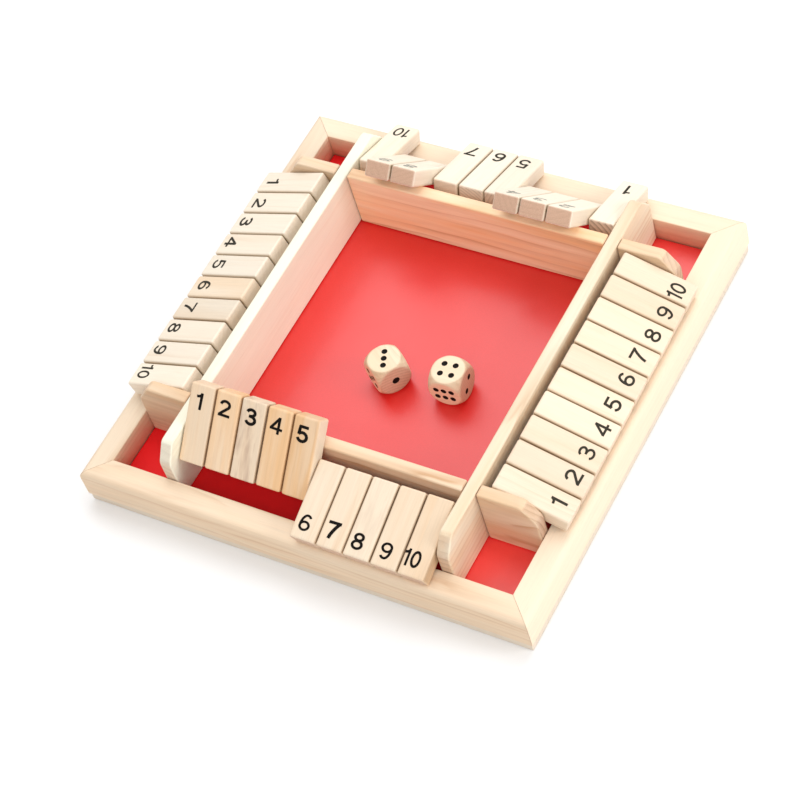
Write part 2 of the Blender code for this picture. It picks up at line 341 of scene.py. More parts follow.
# %% The pine material
def pine(name, pale, line, warm):
    """Sanded pine, with colours for spring wood, summer wood and warm patches."""
    material, tree, shader = start_material(name)
    grain = stored(tree, "grain")
    tone, warmth, knots = stored_parts(tree, "finish")
    figure, end_figure, ring_width = stored_parts(tree, "rings")
    end = stored(tree, "end_grain", "Fac")

    wander = noise_node(tree, grain, (9, 45, 45), detail=3.0, output="Color")
    wander = vector_node(tree, "MULTIPLY", vector_node(tree, "SUBTRACT", wander, (0.5, 0.5, 0.5)), (0, 0.014, 0.014))
    wander = vector_node(tree, "SCALE", wander, math_node(tree, "MULTIPLY_ADD", end, -1.2, 1.0, clamp=True))
    bent = vector_node(tree, "MULTIPLY", vector_node(tree, "ADD", grain, wander), (0, 1, 1))
    radius = math_node(tree, "DIVIDE", vector_node(tree, "LENGTH", bent), ring_width)
    year = math_node(tree, "FRACT", radius)
    ring = ramp_node(tree, year, ((0.0, 0.15), (0.30, 0.0), (0.74, 0.55), (0.90, 1.0), (1.0, 0.15)))
    strength = ramp_node(tree, noise_node(tree, grain, (12, 190, 190)), ((0.38, 0.05), (0.64, 1.0)))
    cut_ring = math_node(tree, "MULTIPLY", ring, end_figure, clamp=True)
    ring = math_node(tree, "MULTIPLY", ring, math_node(tree, "MULTIPLY", strength, figure), clamp=True)

    fibre = noise_node(tree, grain, (45, 1500, 1500), detail=3.0, roughness=0.6)
    drift = noise_node(tree, grain, (10, 110, 110), detail=3.0, roughness=0.55)
    flecks = ramp_node(tree, noise_node(tree, grain, (160, 2600, 2600), detail=1.0), ((0.62, 0.0), (0.74, 1.0)))

    patch = ramp_node(tree, drift, ((0.40, 0.0), (0.68, 1.0)))
    patch = math_node(tree, "MULTIPLY_ADD", patch, 0.42, 0.26)
    patch = math_node(tree, "MULTIPLY", patch, math_node(tree, "ADD", warmth, 0.15), clamp=True)
    colour = mix_node(tree, patch, (*pale, 1), (*warm, 1))
    colour = mix_node(tree, ring, colour, (*line, 1))
    shade = math_node(tree, "MULTIPLY_ADD", fibre, 0.16, 0.92)
    shade = math_node(tree, "SUBTRACT", shade, math_node(tree, "MULTIPLY", flecks, 0.05))
    shade = math_node(tree, "ADD", shade, math_node(tree, "MULTIPLY", tone, 0.10))

    spots = noise_node(tree, grain, (50, 260, 260), detail=3.0, roughness=0.6)
    spots = ramp_node(tree, spots, ((0.48, 0.0), (0.70, 0.8)))
    spots = math_node(tree, "MULTIPLY", spots, knots, clamp=True)
    colour = mix_node(tree, spots, colour, (0.54, 0.37, 0.26, 1))

    # The stored value darkens faces that the saw left, with streaks. It also paints shade on tile sides in the gaps
    # between tiles and on the base's shaded sides. Below zero it paints light and turns a face pale.
    streaks = noise_node(tree, grain, (9, 330, 330), detail=3.0, roughness=0.6)
    streaks = ramp_node(tree, streaks, ((0.36, 0.45), (0.64, 1.0)))
    sawn_and_shade = stored(tree, "sawn_and_shade", "Fac")
    colour = mix_node(tree, math_node(tree, "MULTIPLY", sawn_and_shade, streaks), colour, (0.54, 0.45, 0.34, 1), "MULTIPLY")
    colour = mix_node(tree, math_node(tree, "MULTIPLY", sawn_and_shade, -1.0, clamp=True), colour, (*pale, 1))

    pores = noise_node(tree, grain, (300, 2400, 2400))
    cut_wood = mix_node(tree, pores, (0.48, 0.30, 0.20, 1), (0.72, 0.47, 0.33, 1))
    cut_wood = mix_node(tree, cut_ring, cut_wood, (0.22, 0.095, 0.05, 1))
    colour = mix_node(tree, math_node(tree, "MULTIPLY", end, 0.9), colour, cut_wood)

    rough = math_node(tree, "MULTIPLY_ADD", fibre, 0.18, 0.48)
    rough = math_node(tree, "MULTIPLY_ADD", end, 0.15, rough)
    fill_in(tree, shader, {"Base Color": vector_node(tree, "SCALE", colour, shade), "Roughness": rough})
    relief = math_node(tree, "MULTIPLY_ADD", ring, 0.4, fibre)
    bump_node(tree, shader, relief, 0.00006, 0.5)
    return material


pale_wood = (0.86, 0.71, 0.54)
summer_wood = (0.62, 0.37, 0.20)
warm_wood = (0.80, 0.50, 0.26)
pine_rail = pine("pine_rail", pale_wood, summer_wood, warm_wood)
pine_wall = pine("pine_wall", pale_wood, summer_wood, warm_wood)
board_lines = (0.66, 0.46, 0.29)
pine_board = pine("pine_board", (0.85, 0.81, 0.66), board_lines, warm_wood)
# A paler, less red copy of the board pine for the west board: painted light for the strong direct light on its inner
# face.
pine_board_painted_lit = pine("pine_board_painted_lit", (0.85, 0.85, 0.71), board_lines, warm_wood)
pine_base = pine("pine_base", (0.78, 0.68, 0.56), (0.50, 0.38, 0.28), (0.66, 0.50, 0.36))
pine_tile = pine("pine_tile", (0.85, 0.715, 0.555), summer_wood, warm_wood)
# A paler, less yellow copy of the tile pine for the far and left rows: painted light, for the light that washes those
# rows nearly white.
pine_tile_pale = pine("pine_tile_pale", (0.88, 0.79, 0.66), (0.66, 0.44, 0.27), (0.80, 0.56, 0.34))
print("pine materials ready")

# %% [markdown]
# ## Ink, felt and steel
#
# The numbers and pips are dark ink, a little patchy where the wood drank it: black on the front row and the dice,
# thinner on the other rows, and pale grey where the far row's flipped tiles face up, a painted highlight for the
# glare that washes that print out. The felt is a mat of short wool fibres with tiny lighter and darker specks. In the
# tray, dice have rubbed it so flat that it throws back a soft, wide shine, which takes a low roughness and a stronger
# reflection. In the right-hand wells it has a brighter red, painted light for the light from the right, and a
# stronger reflection, and elsewhere it is fresh and dull. The rods are drawn steel with fine lines along them.

# %% The ink, felt and steel materials
def object_place(tree):
    """Each point's place in the piece's own frame."""
    return tree.nodes.new("ShaderNodeTexCoord").outputs["Object"]


def two_tone(name, stretch, dark, light, roughness, others):
    """Two colours mixed by fine noise, which makes the surface rougher too."""
    material, tree, shader = start_material(name)
    speck = noise_node(tree, object_place(tree), stretch)
    fill_in(tree, shader, {"Base Color": mix_node(tree, speck, (*dark, 1), (*light, 1)),
                           "Roughness": math_node(tree, "MULTIPLY_ADD", speck, 0.2, roughness), **others})
    return material


def make_ink(name, dark, light):
    """Ink that has soaked a little into the wood."""
    return two_tone(name, (2200, 2200, 2200), dark, light, 0.35, {"Specular IOR Level": 0.09})


def make_steel(name, stretch):
    """Drawn steel, with lines along the rod."""
    return two_tone(name, stretch, (0.42, 0.42, 0.42), (0.62, 0.61, 0.60), 0.22, {"Metallic": 1.0})


def make_felt_material(name, dark, light, roughness, shine):
    """Red wool felt. The shine is how much of the light it throws back unchanged."""
    material, tree, shader = start_material(name)
    place = object_place(tree)
    fluff = noise_node(tree, place, (1700, 1700, 1700), detail=3.0, roughness=0.7)
    cloud = noise_node(tree, place, (55, 55, 55), detail=3.0)
    colour = mix_node(tree, fluff, (*dark, 1), (*light, 1))
    colour = mix_node(tree, math_node(tree, "MULTIPLY", cloud, 0.4), colour, (*dark, 1))
    fill_in(tree, shader, {
        "Base Color": colour, "Roughness": math_node(tree, "MULTIPLY_ADD", cloud, 0.06, roughness), "IOR": 1.6,
        "Specular IOR Level": shine, "Sheen Weight": 0.04, "Sheen Roughness": 0.5, "Sheen Tint": (1.0, 0.5, 0.45, 1)})
    bump_node(tree, shader, fluff, 0.00008, 0.35)
    return material


ink = make_ink("ink_black", (0.002, 0.002, 0.002), (0.012, 0.009, 0.007))
ink_thin = make_ink("ink_thin", (0.014, 0.012, 0.007), (0.060, 0.054, 0.040))
# Pale grey ink for the upturned print of the far row's flipped tiles: a painted highlight, for the glare that washes
# that print out.
ink_painted_glare = make_ink("ink_painted_glare", (0.15, 0.155, 0.125), (0.36, 0.36, 0.31))
felt_fresh = make_felt_material("felt_fresh", (0.86, 0.006, 0.010), (0.98, 0.012, 0.016), 0.65, 0.25)
felt_worn = make_felt_material("felt_worn", (0.66, 0.008, 0.008), (0.84, 0.020, 0.016), 0.32, 0.68)
# Brighter red felt for the wells right of the east board: painted light, for the light from the right.
felt_painted_bright = make_felt_material("felt_painted_bright", (0.90, 0.014, 0.014), (1.0, 0.030, 0.026), 0.42, 1.0)
steel_along_x = make_steel("steel_rod_along_x", (60, 3000, 3000))
steel_along_y = make_steel("steel_rod_along_y", (3000, 60, 3000))
for side in sides:
    rod = frame["nodes"]["rod_" + side]
    rod.data.materials.clear()
    rod.data.materials.append(steel_along_x if side in ("south", "north") else steel_along_y)
print("ink, felt and steel ready")

# %% [markdown]
# ## The base and the felt
#
# The base panel shows only as a thin strip under the rails. The felt is glued onto it. It isn't a perfect plane:
# the glue and the wool leave it very slightly uneven, so its grid is moved up and down by a hair.

# %% Base panel
glue_gap = 0.0003
base_sanding = 0.0004
# The base's outer edges are darkened like sawn wood on the south, west and north sides, which also paints the shade
# under the rails' overhang there. The east side, in full light, is left undarkened.
base_sawn_and_shade = (((0, -1, 0), 0.2), ((-1, 0, 0), 0.3), ((0, 1, 0), 0.2))


def make_base():
    """The panel under everything, with a field that stands up between the rails."""
    field = felt_high.x
    rim_top = rail_low.z - glue_gap
    mesh = block((base_low.x, base_low.y, base_low.z), (base_high.x, base_high.y, rim_top))
    top = max(mesh.faces, key=lambda face: face.calc_center_median().z)
    bmesh.ops.inset_individual(mesh, faces=[top], thickness=base_high.x - field, use_even_offset=True)
    raise_faces(mesh, [top], base_high.z - rim_top)
    bmesh.ops.delete(mesh, geom=[top], context="FACES_ONLY")
    bmesh.ops.recalc_face_normals(mesh, faces=mesh.faces[:])
    sand(mesh, sharp_edges(mesh), base_sanding, 2)
    # Its end grain is darkened only a little: painted light for the bright light on its east edge.
    lay_grain(mesh, 0, "base", tone=0.2, warmth=0.1, figure=0.3, sawn_and_shaded_sides=base_sawn_and_shade, end_share=0.1)
    return finish_piece("base", mesh, [pine_base], "board", "base_panel")


make_base()

# %% Felt lining
felt_cells = 110
felt_unevenness = 0.00006
felt_waves = 120               # waves for each metre
felt_ripples = 420
tray_half = -wall_high.y       # from the middle to the walls of the tray


def make_felt():
    """The felt sheet, a hair uneven on top, worn smooth in the tray, with painted light along its right side."""
    mesh = bmesh.new()
    bmesh.ops.create_grid(mesh, x_segments=felt_cells, y_segments=felt_cells, size=felt_high.x)
    for corner in mesh.verts:
        wave = noise.noise(corner.co * felt_waves) + 0.5 * noise.noise(corner.co * felt_ripples)
        corner.co.z = felt_low.z + felt_unevenness * (wave - 1)
    thickness = felt_high.z - felt_low.z
    raise_faces(mesh, mesh.faces[:], thickness)
    for corner in mesh.verts:
        if corner.co.z < felt_low.z + thickness / 2:
            corner.co.z = felt_low.z
    for face in mesh.faces:
        middle = face.calc_center_median()
        if max(abs(middle.x), abs(middle.y)) < tray_half + felt_high.x / felt_cells:
            face.material_index = 1
        # Right of the east board the felt is brighter red: painted light for the light from the right.
        elif middle.x > board_low.x:
            face.material_index = 2
    return finish_piece("felt", mesh, [felt_fresh, felt_worn, felt_painted_bright], "board", "felt_lining",
                        sharp=smooth_limit)


felt = make_felt()
print("felt", round(2000 * felt_high.x, 1), "mm square")

# %% [markdown]
# ## Rails
#
# Each rail is a length of pine, cut at 45 degrees at both ends and rounded along the outside, where hands rest. The
# cut ends are hardly sanded, so the joint shows as a fine line.

# %% Mitred rails
rail_round = 0.0030
rail_foot_round = 0.0012
rail_edge_sanding = 0.0005
mitre_sanding = 0.00012
mitre_gap = 0.00006
rail_rings = 0.0036
# The east rail is made pale and nearly plain: painted light for the strong light that falls on that side. The darker
# outsides and insides are partly rough sawn wood and partly painted shade; the faces in full light, the east rail's
# outside and the west rail's inside, are left undarkened.
rail_looks = {                 # tone, warmth, figure, and how rough the outside and the inside are
    "south": (0.2, 0.4, 0.6, 0.3, 0.5), "east": (0.6, 0.0, 0.12, 0.0, 0.5),
    "north": (0.6, 0.1, 0.4, 0.2, 0.25), "west": (-0.2, 0.15, 0.6, 0.2, 0.0),
}


def make_rail(side):
    """One rail of the board's rim."""
    half = -rail_low.y
    inner = -rail_high.y
    mesh = block((-half, -half, rail_low.z), (half, -inner, rail_high.z))
    middle = Vector((0, -(half + inner) / 2, (rail_low.z + rail_high.z) / 2))
    sand(mesh, edges_where(mesh, lambda co: co.y < middle.y and co.z > middle.z), rail_round, 7)
    sand(mesh, edges_where(mesh, lambda co: co.y < middle.y and co.z < middle.z), rail_foot_round, 4)
    sand(mesh, edges_where(mesh, lambda co: co.y > middle.y and co.z > middle.z), rail_edge_sanding, 3)
    for end in (-1, 1):
        outward = Vector((end, 1, 0)).normalized()
        saw(mesh, outward * (-mitre_gap / 2), outward)
    ends = [edge for edge in sharp_edges(mesh) if abs(edge.verts[0].co.x - edge.verts[1].co.x) < half / 2]
    sand(mesh, ends, mitre_sanding, 1)
    tone, warmth, figure, outside, inside = rail_looks[side]
    rough_and_shaded_sides = (((0, -1, 0), outside), ((0, 1, 0), inside))
    lay_grain(mesh, 0, "rail_" + side, tone, warmth, figure=figure, sawn_and_shaded_sides=rough_and_shaded_sides, ring_width=rail_rings)
    return finish_piece("rim_" + side, mesh, [pine_rail], "board", "rail_" + side, turn_to[side])


for side in sides:
    make_rail(side)
print("four rails")

# %% [markdown]
# ## Walls of the tray and the corner wells
#
# Two long boards run the whole depth of the board, and two short walls fit between them. Four cheeks carry the line
# of the short walls out to the side rails. Where a board or a cheek meets a rail it slopes down, with soft turns
# above and below the slope, and its edges are well sanded.

# %% Tray walls, long boards and cheeks
wall_sanding = 0.0009
slope_length = 0.0066
slope_drop = 0.0088
slope_softness = 0.0016
wall_rings = 0.0055
board_rings = 0.0034
# The north wall is made paler and much warmer: painted light, for the orange glow that the red felt throws on its
# inner face, which turns away from the lamps.
wall_looks = {"south": (0.1, 0.6), "north": (1.8, 1.5)}    # tone, warmth
# The west board is made paler, not warm and nearly plain: painted light for the strong direct light on its inner
# face, which also keeps the felt's red glow from showing on it.
board_looks = {"east": (0.1, 0.7, 0.8), "west": (0.6, 0.0, 0.12)}  # tone, warmth, figure
board_woods = {"east": pine_board, "west": pine_board_painted_lit}
# The south-east cheek is made darker, with stronger figure: partly its rings and partly painted shade for its face
# that turns away from the light.
cheek_looks = {                # tone, figure, roughness
    "south_east": (-0.6, 0.9, 0.1), "south_west": (-0.2, 0.3, 0.55),
    "north_east": (0.0, 0.35, 0.5), "north_west": (0.0, 0.4, 0.5),
}


def slope_end(mesh, foot, outward):
    """Slope off the end of a board and soften the turns into the slope."""
    direction = outward.normalized()
    saw(mesh, foot, direction)
    slope = max(mesh.faces, key=lambda face: face.normal.dot(direction))
    across = direction.cross(Vector((0, 0, 1))).normalized()
    turns = [edge for edge in slope.edges
             if abs((edge.verts[0].co - edge.verts[1].co).normalized().dot(across)) > 0.99]
    sand(mesh, turns, slope_softness, 5)


def make_tray_wall(side):
    """A short wall between the two long boards."""
    mesh = block(wall_low, wall_high)
    sand(mesh, sharp_edges(mesh), wall_sanding, 3)
    lay_grain(mesh, 0, "tray_wall_" + side, *wall_looks[side], figure=1.1, ring_width=wall_rings)
    finish_piece("tray_wall_" + side, mesh, [pine_wall], "board", "wall_" + side, turn_to[side])


def make_long_board(side, place):
    """A wall of the tray that runs out to the front and back rails."""
    mesh = block(board_low, board_high)
    for end in (-1, 1):
        foot = Vector((0, end * board_high.y, board_high.z - slope_drop))
        slope_end(mesh, foot, Vector((0, end * slope_drop, slope_length)))
    sand(mesh, sharp_edges(mesh), wall_sanding, 3)
    tone, warmth, figure = board_looks[side]
    lay_grain(mesh, 1, "long_board_" + side, tone, warmth, figure=figure, ring_width=board_rings, end_share=0.7)
    finish_piece("long_board_" + side, mesh, [board_woods[side]], "board", "board_" + side, place)


def make_cheek(name, place):
    """A short wall from a long board out to a side rail."""
    mesh = block(cheek_low, cheek_high)
    foot = Vector((cheek_high.x, 0, cheek_high.z - slope_drop))
    slope_end(mesh, foot, Vector((slope_drop, 0, slope_length)))
    sand(mesh, sharp_edges(mesh), wall_sanding, 3)
    tone, figure, roughness = cheek_looks[name]
    faces = [((0, way, 0), roughness) for way in (-1, 1)]
    lay_grain(mesh, 0, "cheek_" + name, tone, warmth=0.9, figure=figure, lean=quarter_turn, sawn_and_shaded_sides=faces)
    finish_piece("well_wall_" + name, mesh, [pine_wall], "board", "cheek_" + name, place)


half_turn = Matrix.Rotation(math.pi, 4, "Z")
flip_x = Matrix.Diagonal((-1, 1, 1, 1))
flip_y = Matrix.Diagonal((1, -1, 1, 1))
make_tray_wall("south")
make_tray_wall("north")
make_long_board("east", Matrix.Identity(4))
make_long_board("west", half_turn)
make_cheek("south_east", Matrix.Identity(4))
make_cheek("north_west", half_turn)
make_cheek("south_west", flip_x)
make_cheek("north_east", flip_y)
print("two tray walls, two long boards, four cheeks")

# %% [markdown]
# ## Number shapes
#
# The tiles carry plain upright numbers with an even stroke. Each digit is a few strokes: a centre line of points,
# given a flat rectangular pen by a curve's bevel object. Overlapping strokes are joined into one closed shape with
# a Boolean, so that nothing is left inside. The ten digits are made once and copied onto the tiles.

# %% Centre lines of the digits
pen = 0.142                    # stroke width, as a share of the digit's height


def arc(middle, radii, start, end, steps=14):
    """Points on an ellipse, between two angles in degrees."""
    angles = [math.radians(start + (end - start) * step / steps) for step in range(steps + 1)]
    return [(middle[0] + radii[0] * math.cos(angle), middle[1] + radii[1] * math.sin(angle)) for angle in angles]


def loop(middle, radii):
    """A closed ellipse."""
    return arc(middle, radii, 0, 360, 32)[:-1]


six_loop = loop((0.335, 0.305), (0.255, 0.235))
six_hook = arc((0.345, 0.36), (0.265, 0.568), 180, 90, 10) + arc((0.345, 0.74), (0.215, 0.188), 90, 16, 8)[1:]
digit_strokes = {
    "0": [(True, loop((0.335, 0.50), (0.26, 0.425)))],
    "1": [(False, [(0.305, 0.0), (0.305, 1.0)]), (False, [(0.325, 0.93), (0.20, 0.80), (0.02, 0.76)])],
    "2": [(False, arc((0.345, 0.70), (0.26, 0.225), 174, -36, 16) + [(0.085, 0.12)]),
          (False, [(0.0, 0.075), (0.69, 0.075)])],
    "3": [(False, arc((0.33, 0.735), (0.235, 0.19), 165, -90)),
          (False, arc((0.34, 0.30), (0.265, 0.225), 90, -165)),
          (False, [(0.23, 0.535), (0.37, 0.535)])],
    "4": [(False, [(0.50, 0.0), (0.50, 1.0)]), (False, [(0.0, 0.29), (0.73, 0.29)]),
          (False, [(0.50, 0.96), (0.055, 0.29)])],
    "5": [(False, [(0.12, 0.925), (0.63, 0.925)]), (False, [(0.165, 0.95), (0.115, 0.47)]),
          (False, arc((0.335, 0.33), (0.27, 0.26), 142, -162))],
    "6": [(True, six_loop), (False, six_hook)],
    "7": [(False, [(0.0, 0.925), (0.69, 0.925)]),
          (False, [(0.625, 0.94), (0.475, 0.71), (0.355, 0.46), (0.27, 0.22), (0.225, 0.0)])],
    "8": [(True, loop((0.34, 0.735), (0.225, 0.19))), (True, loop((0.34, 0.295), (0.26, 0.22)))],
    "9": [(True, [(0.69 - x, 1 - y) for x, y in six_loop]), (False, [(0.69 - x, 1 - y) for x, y in six_hook])],
}
print("strokes:", sum(len(strokes) for strokes in digit_strokes.values()))

# %% From strokes to closed digits
ink_thickness = 0.016          # as a share of the digit's height
weld = 0.00005                 # corners nearer than this become one


def draw(name, dimensions, points, closed):
    """A curve with one straight-sided line through some points."""
    curve = bpy.data.curves.new(name, "CURVE")
    curve.dimensions = dimensions
    spline = curve.splines.new("POLY")
    spline.points.add(len(points) - 1)
    for point, (x, y) in zip(spline.points, points):
        point.co = (x, y, 0, 1)
    spline.use_cyclic_u = closed
    return curve


def make_nib():
    """The pen's flat cross-section."""
    corners = [(x * pen / 2, y * ink_thickness / 2) for x, y in ((-1, -1), (1, -1), (1, 1), (-1, 1))]
    return add_object("nib", draw("nib", "2D", corners, True))


def stroke_object(points, closed, nib):
    """One stroke, as a flat ribbon."""
    line = draw("stroke", "3D", points, closed)
    line.twist_mode = "Z_UP"
    line.bevel_mode = "OBJECT"
    line.bevel_object = nib
    line.use_fill_caps = True
    drawn = add_object("stroke", line)
    ribbon = add_object("ribbon", evaluated_data(drawn))
    bpy.data.objects.remove(drawn)
    clean = bmesh.new()
    clean.from_mesh(ribbon.data)
    bmesh.ops.remove_doubles(clean, verts=clean.verts[:], dist=weld)
    bmesh.ops.recalc_face_normals(clean, faces=clean.faces[:])
    clean.to_mesh(ribbon.data)
    clean.free()
    return ribbon


def combine(item, operation, other):
    """Give an object a Boolean with another one. The faces that this cuts keep the other's material."""
    step = item.modifiers.new(other.name, "BOOLEAN")
    step.operation = operation
    step.solver = "EXACT"
    step.material_mode = "TRANSFER"
    step.object = other


def make_digit(strokes, nib):
    """All the strokes of a digit joined into one closed mesh."""
    ribbons = [stroke_object(points, closed, nib) for closed, points in strokes]
    first = ribbons[0]
    for other in ribbons[1:]:
        combine(first, "UNION", other)
    joined = evaluated_data(first)
    for ribbon in ribbons:
        bpy.data.objects.remove(ribbon)
    return joined


nib = make_nib()
digit_meshes = {digit: make_digit(strokes, nib) for digit, strokes in digit_strokes.items()}
bpy.data.objects.remove(nib)
print("faces of each digit:", {digit: len(shape.polygons) for digit, shape in digit_meshes.items()})

# %% [markdown]
# ## Tiles
#
# Forty tiles, all sawn to the same size, but no two alike: each has its own place in the tree, its own tone, and
# edges sanded a little more or less. The shape is made lying along the rod's axis, with the rod's centre at the
# origin, and the hinge then puts it on its rod, open or flipped.

# %% The shape of a tile
tile_width = 0.0128
tile_reach = 0.02677
tile_tail = 0.0092
tile_thickness = 0.0082
tile_sanding = (0.0009, 0.0012)
side_play = (0.00006, 0.00020)
sawing_error = 0.0002
planing_error = 0.00006
bore_radius = 0.00185
drill_drift = {"east": 0.0010}  # this row was drilled further from the tails
open_tilt = math.radians(18.377)
flipped_tilt = math.radians(44.007) - math.pi


def tile_name(side, number):
    """The name of a tile's node and body."""
    return "tile_%s_%02d" % (side, number)


def tile_shape(side, name):
    """One tile in its own frame, the bore along X through the origin."""
    chance = random.Random("shape of " + name)
    drift = drill_drift.get(side, 0.0)
    half_width = tile_width / 2 - chance.uniform(*side_play)
    reach = tile_reach - drift - chance.uniform(0, sawing_error)
    tail = tile_tail + drift - chance.uniform(0, sawing_error)
    half_thickness = tile_thickness / 2 - chance.uniform(0, planing_error)
    mesh = block((-half_width, -reach, -half_thickness), (half_width, tail, half_thickness))
    sand(mesh, sharp_edges(mesh), chance.uniform(*tile_sanding), 4)
    return mesh


def is_flipped(name):
    """A flipped tile's hinge can only open it again."""
    return hinges[name]["range_deg"][0] < -1


def tile_place(side, name):
    """Where a tile's own frame lies at rest."""
    tilt = flipped_tilt if is_flipped(name) else open_tilt
    rod = Matrix.Translation(hinges[name]["pos_m"])
    return rod @ turn_to[side] @ Matrix.Rotation(tilt, 4, "X")


# %% [markdown]
# The bore is a real hole, because it shows at the ends of a row when tiles swing apart. A Boolean with a short
# round bar cuts it out of each tile before the grain is laid, so the grain runs on inside it.

# %% Cutting one shape out of another
def cut_out(blank, cutter, blank_materials=(), cutter_materials=()):
    """Cut one bmesh out of another. Both are used up."""
    piece = add_object("blank", as_data("blank", blank, blank_materials))
    tool = add_object("cutter", as_data("cutter", cutter, cutter_materials))
    combine(piece, "DIFFERENCE", tool)
    result = evaluated_data(piece)
    bpy.data.objects.remove(piece)
    bpy.data.objects.remove(tool)
    mesh = bmesh.new()
    mesh.from_mesh(result)
    return mesh


def bored(mesh):
    """Cut the bore out of a tile."""
    bar = bmesh.new()
    bmesh.ops.create_cone(bar, cap_ends=True, segments=32, radius1=bore_radius, radius2=bore_radius,
                          depth=2 * tile_width, matrix=Matrix.Rotation(quarter_turn, 4, "Y"))
    return cut_out(mesh, bar)


# %% [markdown]
# Most tiles are pale. A few came from warmer, duller or spotted wood, so their numbers are listed by row, with what
# they need.

# %% Which tiles are warm, dull, spotted or strongly lined
def by_name(rows):
    """Values listed by row and number, under the tiles' names."""
    return {tile_name(side, number): value for side, listed in rows.items() for number, value in listed.items()}


warm_tiles = by_name({
    "south": {1: 1.1, 2: 1.4, 3: 0.5, 4: 2.0, 5: 2.3, 7: 0.3, 9: 0.4, 10: 1.1},
    "east": {2: 0.3, 3: 0.2, 6: 0.4, 9: 0.5},
    "west": {4: 0.3, 6: 0.8, 7: 0.6},
})
dull_tiles = by_name({
    "south": {1: 0.0, 3: -0.2, 5: -0.1, 6: 0.0, 7: 0.0, 9: -0.2, 10: -0.3},
    "east": {1: -0.1, 2: -0.7, 3: -0.3, 6: -0.2, 9: -0.3, 10: 0.0},
    "west": {5: -0.2, 7: -0.7},
})
spotted_tiles = by_name({"south": {2: 0.25, 3: 0.9, 8: 0.3}, "north": {8: 0.3}})
lined_tiles = by_name({"south": {5: 0.6, 7: 0.45}})
# The far and left rows use the paler copy of the tile pine, painted light.
tile_woods = {"south": pine_tile, "east": pine_tile, "north": pine_tile_pale, "west": pine_tile_pale}
usual_tones = (0.0, 0.6)
usual_warmths = (0.0, 0.2)
usual_figures = (0.05, 0.3)
usual_leans = (-1.2, 1.2)
usual_rings = (0.0020, 0.0030)
# A side against a tile that lies the same way is fully darkened: painted shade for the gap between them. Free sides
# are darkened only a little, like sawn wood.
covered_side_shade = 1.0
open_roughness = 0.2

# %% [markdown]
# The ends of the tiles differ most. The ends that lean over the wall are plain. How dark the ends are is partly end
# grain and partly painted light and shade: the leaning ends are painted dark in the far row and pale in the front
# one, and the far row's open tails are painted lighter. Three of those tails show their rings as slanting stripes. A
# side that lies against the next tile is dull and dark, painted shade for the gap between them, and most sides that
# stand free are only a little darker, like sawn wood.

# %% The ends and sides of the tiles
# Like the far row's other open tails, these are made lighter than plain end grain: painted light for the shade that
# they sit in.
ringed_ends = by_name({        # end figure, lean, width of the rings, how dark
    "north": {1: (1.3, -0.75, 0.0022, 0.88), 5: (0.6, 0.9, 0.0017, 0.85), 6: (0.9, -0.9, 0.0015, 0.66)},
})
flipped_end_figure = 0.10
open_end_figure = 0.25
# How dark each row's end grain is made is partly end grain and partly painted light and shade. The side rows' tails
# and the front row's flipped ends are made pale, painted light for the light on them. The far row's flipped ends are
# made darker, painted shade, and its open tails lighter, painted light in the shade where they sit.
open_end_grain_and_light = {"south": 1.0, "east": 0.35, "north": 0.62, "west": 0.35}
flipped_end_grain_and_light = {"south": 0.15, "north": 1.08}
# Free sides with their own values: the front row's fifth tile has a side painted pale, a painted highlight where
# light falls on it, and its tenth has a side painted darker, a painted shadow of the long board.
free_side_light_and_shade = by_name({"south": {5: -0.9, 10: 0.75}})


def side_roughness(side, number):
    """How dark each side of a tile is: a little dark where it stands free, and fully dark, painted shade for the gap,
    next to a tile that lies the same way.
    """
    name = tile_name(side, number)
    rough_and_shaded_sides = []
    for step in (-1, 1):
        other = number + step
        covered = other in numbers and is_flipped(tile_name(side, other)) == is_flipped(name)
        share = covered_side_shade if covered else free_side_light_and_shade.get(name, open_roughness)
        rough_and_shaded_sides.append(((step, 0, 0), share))
    return rough_and_shaded_sides


def make_tile(side, number):
    """One tile on its rod."""
    name = tile_name(side, number)
    chance = random.Random("tone of " + name)
    mesh = bored(tile_shape(side, name))
    tone = dull_tiles.get(name, chance.uniform(*usual_tones))
    warmth = warm_tiles.get(name, chance.uniform(*usual_warmths))
    figure = lined_tiles.get(name, chance.uniform(*usual_figures))
    plain_end = flipped_end_figure if is_flipped(name) else open_end_figure
    usual_share = (flipped_end_grain_and_light if is_flipped(name) else open_end_grain_and_light)[side]
    usual = (plain_end, chance.uniform(*usual_leans), chance.uniform(*usual_rings), usual_share)
    end_figure, lean, ring_width, end_share = ringed_ends.get(name, usual)
    lay_grain(mesh, 1, name, tone, warmth, spotted_tiles.get(name, 0.0), figure, lean, side_roughness(side, number),
              ring_width, end_figure, end_share)
    finish_piece("number_" + name, mesh, [tile_woods[side]], name, name, tile_place(side, name),
                 smooth_limit)


for side in sides:
    for number in numbers:
        make_tile(side, number)
print("forty tiles")

# %% [markdown]
# ## Printing the numbers
#
# Both broad faces of a tile carry its number near the long end, so that it reads upright for its player when the
# tile lies open and again when it leans over the wall. The ink lies just on the surface. Each number was pressed on
# by hand, so its place on the tile is listed, and the ink has spread more on some tiles than on others.

